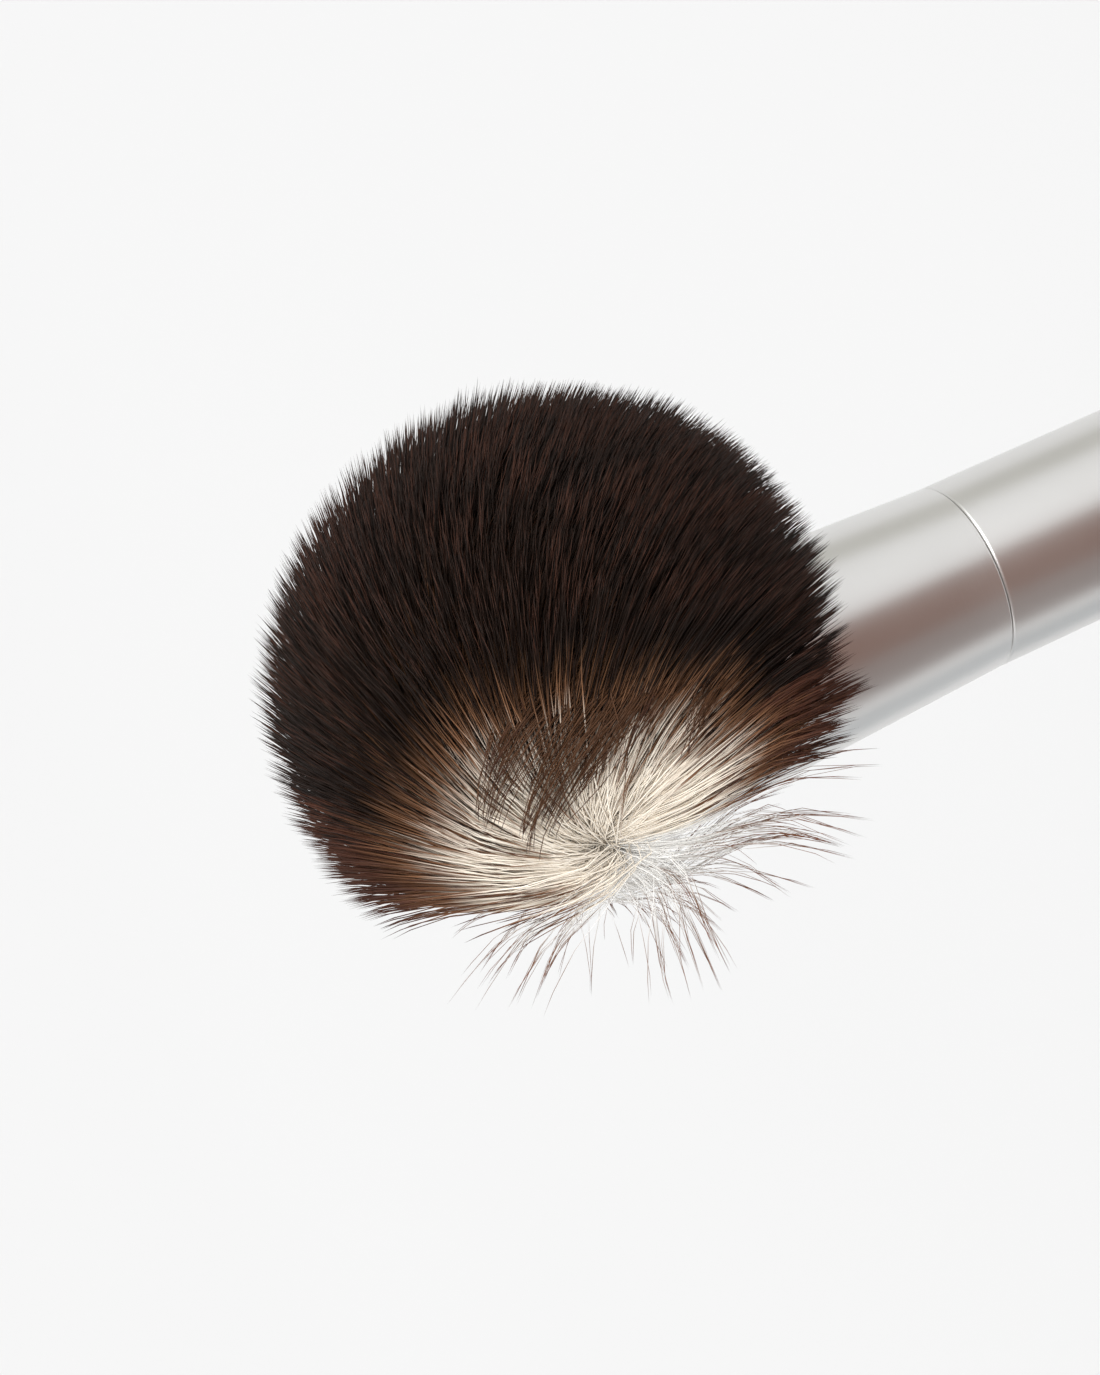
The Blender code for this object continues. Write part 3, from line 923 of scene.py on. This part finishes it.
def handle_sleeve(around, material):
    """The handle's tapered sleeve, with a rounded edge just below the seam."""
    bottom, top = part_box("handle_tube")
    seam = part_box("ferrule")[0][2] - SEAM_GAP
    butt_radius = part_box("end_cap")[1][0]
    profile = [
        (top[0] - TUBE_WALL, seam),
        *rounded(top[0] - TUBE_EDGE, seam - TUBE_EDGE, TUBE_EDGE, 90, 0),
        (butt_radius, bottom[2]),
        (butt_radius - TUBE_WALL, bottom[2]),
    ]
    return turned("handle_sleeve", profile, around, material, closed=True)


def butt_cap(around, material):
    """The end cap: a round-edged flange under a thin gap, and a spigot with a glue groove."""
    butt_radius, _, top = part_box("end_cap")[1]
    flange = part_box("handle_tube")[0][2] - CAP_GAP
    spigot = butt_radius - TUBE_WALL - SPIGOT_PLAY
    groove = (flange + top) / 2
    profile = [
        (0, top),
        (spigot - SPIGOT_CHAMFER, top),
        (spigot, top - SPIGOT_CHAMFER),
        (spigot, groove + GROOVE_HALF),
        (spigot - GROOVE_DEPTH, groove + GROOVE_HALF),
        (spigot - GROOVE_DEPTH, groove - GROOVE_HALF),
        (spigot, groove - GROOVE_HALF),
        (spigot, flange),
        *rounded(butt_radius - CAP_EDGE, flange - CAP_EDGE, CAP_EDGE, 90, 0, 6),
        *rounded(butt_radius - BUTT_EDGE, BUTT_EDGE, BUTT_EDGE, 0, -90, 12),
        (0, 0),
    ]
    return turned("butt_cap", profile, around, material)


class BLUSH_OT_metalwork(bpy.types.Operator):
    """Turn the ferrule, the handle's sleeve and the end cap in anodised aluminium"""

    bl_idname = "blush.metalwork"
    bl_label = "Metalwork"

    def execute(self, context):
        settings = context.scene.blush_metal
        tone, roughness = settings.tone, settings.roughness
        satin = anodised_aluminium("anodised aluminium, ferrule", tone, roughness)
        ferrule = ferrule_shell(settings.around, satin)
        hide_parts("ferrule")

        darker = anodised_aluminium(
            "anodised aluminium, handle", shaded(tone, 0.98), roughness + 0.01
        )
        sleeve = handle_sleeve(settings.around, darker)
        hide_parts("handle_tube")

        cap = butt_cap(settings.around, darker)
        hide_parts("end_cap")
        for piece in (ferrule, sleeve, cap):
            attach(piece, "root")
        return {"FINISHED"}


class BLUSH_OT_inside(bpy.types.Operator):
    """Give the weight, the core, the casting and the thread their own materials"""

    bl_idname = "blush.inside"
    bl_label = "Inner pieces"

    def execute(self, context):
        finishes = {
            "balance_weight": turned_steel(),
            "handle_core": turned_beech(),
            "root_resin": cast_epoxy(),
            "root_tie": cotton_thread(),
        }
        for name, material in finishes.items():
            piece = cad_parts[name]
            for slot in piece.material_slots:
                slot.material = material
        return {"FINISHED"}


class BLUSH_OT_hair(bpy.types.Operator):
    """Grow the hair: the dense tuft, the loose wisps over the parting, and the sparse fringe"""

    bl_idname = "blush.hair"
    bl_label = "Hair"

    def execute(self, context):
        settings = context.scene.blush_hair
        random = np.random.default_rng(SEED)
        pieces = [root_face(cast_epoxy())]

        tips = scattered_tips(settings.hairs, random)
        turns = np.arctan2(tips[:, 1], tips[:, 0])
        tips, tufts = drawn_to(tips, TUFTS, TUFT_PULL, random)
        tips, locks = drawn_to(tips, settings.locks, LOCK_PULL, random)
        habits = [
            lock_habits(TUFTS, tufts, TUFT_HABITS, random),
            lock_habits(settings.locks, locks, LOCK_HABITS, random),
        ]
        apart = smooth_step(0.0, 0.6, -tips[:, :1])
        seeds = sunflower(settings.locks, LABEL_REACH)[locks]
        tips += SHORT_SIDE_PULL * apart * (seeds - tips)
        paths = grow(settings, tips, habits, random, loose=0.4 + 0.9 * apart)
        past = sparse_side(paths[:, -1])
        edge = random.normal(0, EDGE_RAGGED, settings.locks)[locks]
        kept = dense_side(paths, past + edge, apart[:, 0], random)
        # Neighbouring tufts take columns far apart, so their cream ends differ
        columns = (tufts * 13 + random.integers(0, 2, len(tufts))) % LOCK_COLUMNS
        over_parting = (paths[:, -1] - (0, 0, MOUTH)) @ RUSSET_SIDE
        beside = np.maximum(over_parting - RUSSET_FROM, past + RUSSET_BAND) + 2 * edge > 0

        root = settings.root
        dark = goat_hair("two-tone", settings, root, 0.62, 0.2, settings.dark)
        russet = goat_hair("russet ends", settings, root, 0.7, 0.14, settings.russet)
        loose = goat_hair("loose wisps", settings, root, 0.5, 0.1, settings.wisp)
        # The pale fringe's near-white root is partly the hair's own pale colour and partly painted
        # light coming through it
        pale = goat_hair("pale fringe", settings, settings.pale, 0.72, 0.1, settings.fringe)
        for stem, which, material in (
            ("hair_sector", kept & ~beside, dark),
            ("hair_beside_parting", kept & beside, russet),
        ):
            chosen = np.flatnonzero(which)
            chosen = chosen[np.argsort(turns[chosen])]
            parts = np.array_split(chosen, math.ceil(len(chosen) / HAIR_PIECE))
            for number, part in enumerate(parts, 1):
                name = f"{stem}_{number:02d}"
                widths = hair_widths(settings, paths[part], random)
                pieces.append(
                    hair_tubes(name, paths[part], widths, columns[part], random, material)
                )

        sparse = ~kept & (past > FRINGE_FROM)
        pieces.append(
            hair_fringe(settings, tips[sparse], seeds[sparse], locks[sparse], random, pale)
        )
        pieces.append(hair_wisps(settings, random, loose))

        for piece in pieces:
            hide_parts("hair_tuft")
            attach(piece, "root")
        return {"FINISHED"}


# The photograph's viewpoint in the brush's own frame, as the camera's right, up and back
CAMERA_PLACE = (0.00481, -0.3865, 0.2866)
CAMERA_RIGHT = (-0.4110, -0.3050, -0.8591)
CAMERA_UP = (0.9116, -0.1375, -0.3873)
CAMERA_BACK = (0.0, -0.9424, 0.3346)

# Curved glowing cards that only reflections see, painting reflection bands into the metal: between
# which azimuths in degrees, and their tone
CARDS = {
    "warm card": ((229, 281), "#805F53"),
    "grey card": ((187, 229), "#8F8481"),
    "cool card": ((346, 378), "#C9C8C1"),
    "blue card": ((140, 172), "#C6CACD"),
}
CARD_DISTANCE = 0.12
CARD_BOTTOM = 0.002
CARD_HEIGHT = 0.4
CARD_POINTS = 24

# Soft lamps: where each shines, and how many degrees wide it looks
LAMPS = {"key": ((-0.45, 0.7, -0.55), 55), "fill": ((0.55, 0.45, -0.7), 70)}
FLOOR_REACH = 6.0


def glowing_reflection_card(name, azimuths, tone):
    """A curved card round the brush, from the floor up, that glows with its own tone and that only
    reflections see: a painted reflection band in the metal.

    Its points are x = d cos a, y = d sin a, with a between two azimuths.
    """
    material = bpy.data.materials.new(name)
    material.use_nodes = True
    tree = material.node_tree
    tree.nodes.clear()
    glow = node(tree, "ShaderNodeEmission", {"Color": (*tone, 1.0), "Strength": 1.0})
    node(tree, "ShaderNodeOutputMaterial", {"Surface": glow.outputs["Emission"]})
    angles = np.radians(np.linspace(*azimuths, CARD_POINTS))
    across, deep = CARD_DISTANCE * np.cos(angles), CARD_DISTANCE * np.sin(angles)
    line = np.stack([across, deep, CARD_BOTTOM + 0 * angles], 1)
    points = np.concatenate([line, line + (0, 0, CARD_HEIGHT)])
    here = np.arange(CARD_POINTS - 1)
    quads = np.stack([here, here + CARD_POINTS, here + CARD_POINTS + 1, here + 1], 1)
    card = put(name, points, [quads], material)
    card.visible_camera = False
    card.visible_diffuse = False
    card.visible_shadow = False
    card.visible_transmission = False


class BLUSH_OT_studio(bpy.types.Operator):
    """Set up the pale floor, the soft lamps, the reflected cards and the camera"""

    bl_idname = "blush.studio"
    bl_label = "Studio"

    def execute(self, context):
        scene = context.scene
        settings = scene.blush_studio
        scene.view_settings.view_transform = "Standard"

        material, tree, shader = principled(
            "matt paper sweep", Roughness=0.9, Specular_IOR_Level=0.1
        )
        place = node(tree, "ShaderNodeTexCoord").outputs["Object"]
        cloud = node(tree, "ShaderNodeTexNoise", {"Vector": place, "Scale": 3.0, "Detail": 1.0})
        tones = node(
            tree,
            "ShaderNodeValToRGB",
            {"Fac": cloud.outputs["Fac"]},
            [(0.3, shaded(settings.floor, 0.985)), (0.7, settings.floor)],
        )
        wire(tree, shader, {"Base Color": tones.outputs["Color"]})
        corners = FLOOR_REACH * np.array([(-1, -1, 0), (1, -1, 0), (1, 1, 0), (-1, 1, 0)])
        floor = put("floor", corners, [np.array([[0, 1, 2, 3]])], material)

        for name, (azimuths, code) in CARDS.items():
            glowing_reflection_card(name, azimuths, linear(code))

        world = bpy.data.worlds.new("pale surround")
        scene.world = world
        world.use_nodes = True
        tree = world.node_tree
        tree.nodes.clear()
        rays = node(tree, "ShaderNodeLightPath")
        seen = rays.outputs["Is Camera Ray"]
        for kind in ("Is Glossy Ray", "Is Transmission Ray"):
            either = node(
                tree, "ShaderNodeMath", {0: seen, 1: rays.outputs[kind]}, operation="MAXIMUM"
            )
            seen = either.outputs["Value"]
        strength = node(
            tree, "ShaderNodeMapRange", {"Value": seen, "To Min": settings.ambient, "To Max": 1.0}
        )
        glow = node(
            tree,
            "ShaderNodeBackground",
            {"Color": (*settings.surround, 1.0), "Strength": strength.outputs["Result"]},
        )
        node(tree, "ShaderNodeOutputWorld", {"Surface": glow.outputs["Background"]})

        for name, (heading, spread) in LAMPS.items():
            lamp = bpy.data.lights.new(name, "SUN")
            lamp.energy = getattr(settings, name)
            lamp.angle = math.radians(spread)
            obj = bpy.data.objects.new(name, lamp)
            obj.rotation_euler = Vector(heading).to_track_quat("-Z", "Y").to_euler()
            scene.collection.objects.link(obj)

        data = bpy.data.cameras.new("camera")
        data.sensor_fit = "VERTICAL"
        data.sensor_height = 36.0
        data.lens = settings.lens
        data.clip_start = 0.01
        camera = bpy.data.objects.new("camera", data)
        turn = Matrix((CAMERA_RIGHT, CAMERA_UP, CAMERA_BACK)).transposed().to_4x4()
        camera.matrix_world = Matrix.Translation(CAMERA_PLACE) @ turn
        scene.collection.objects.link(camera)
        scene.camera = camera
        return {"FINISHED"}


class BLUSH_PT_panel(bpy.types.Panel):
    """The brush's settings and steps"""

    bl_label = "Blush Brush"
    bl_idname = "BLUSH_PT_panel"
    bl_space_type = "VIEW_3D"
    bl_region_type = "UI"
    bl_category = "Blush Brush"

    def draw(self, context):
        for group in GROUPS:
            box = self.layout.box()
            for key in GROUPS[group].__annotations__:
                box.prop(getattr(context.scene, group), key)
        for operator in OPERATORS:
            self.layout.operator(operator.bl_idname)


GROUPS = {
    "blush_hair": BLUSH_PG_hair,
    "blush_metal": BLUSH_PG_metal,
    "blush_studio": BLUSH_PG_studio,
}
OPERATORS = (BLUSH_OT_metalwork, BLUSH_OT_inside, BLUSH_OT_hair, BLUSH_OT_studio)
CLASSES = (*GROUPS.values(), *OPERATORS, BLUSH_PT_panel)


def register():
    for cls in CLASSES:
        bpy.utils.register_class(cls)
    for name, group in GROUPS.items():
        setattr(bpy.types.Scene, name, PointerProperty(type=group))


def unregister():
    for name in GROUPS:
        delattr(bpy.types.Scene, name)
    for cls in reversed(CLASSES):
        bpy.utils.unregister_class(cls)


def main():
    register()
    bpy.ops.blush.metalwork()
    bpy.ops.blush.inside()
    bpy.ops.blush.hair()
    bpy.ops.blush.studio()


if __name__ == "__main__":
    main()
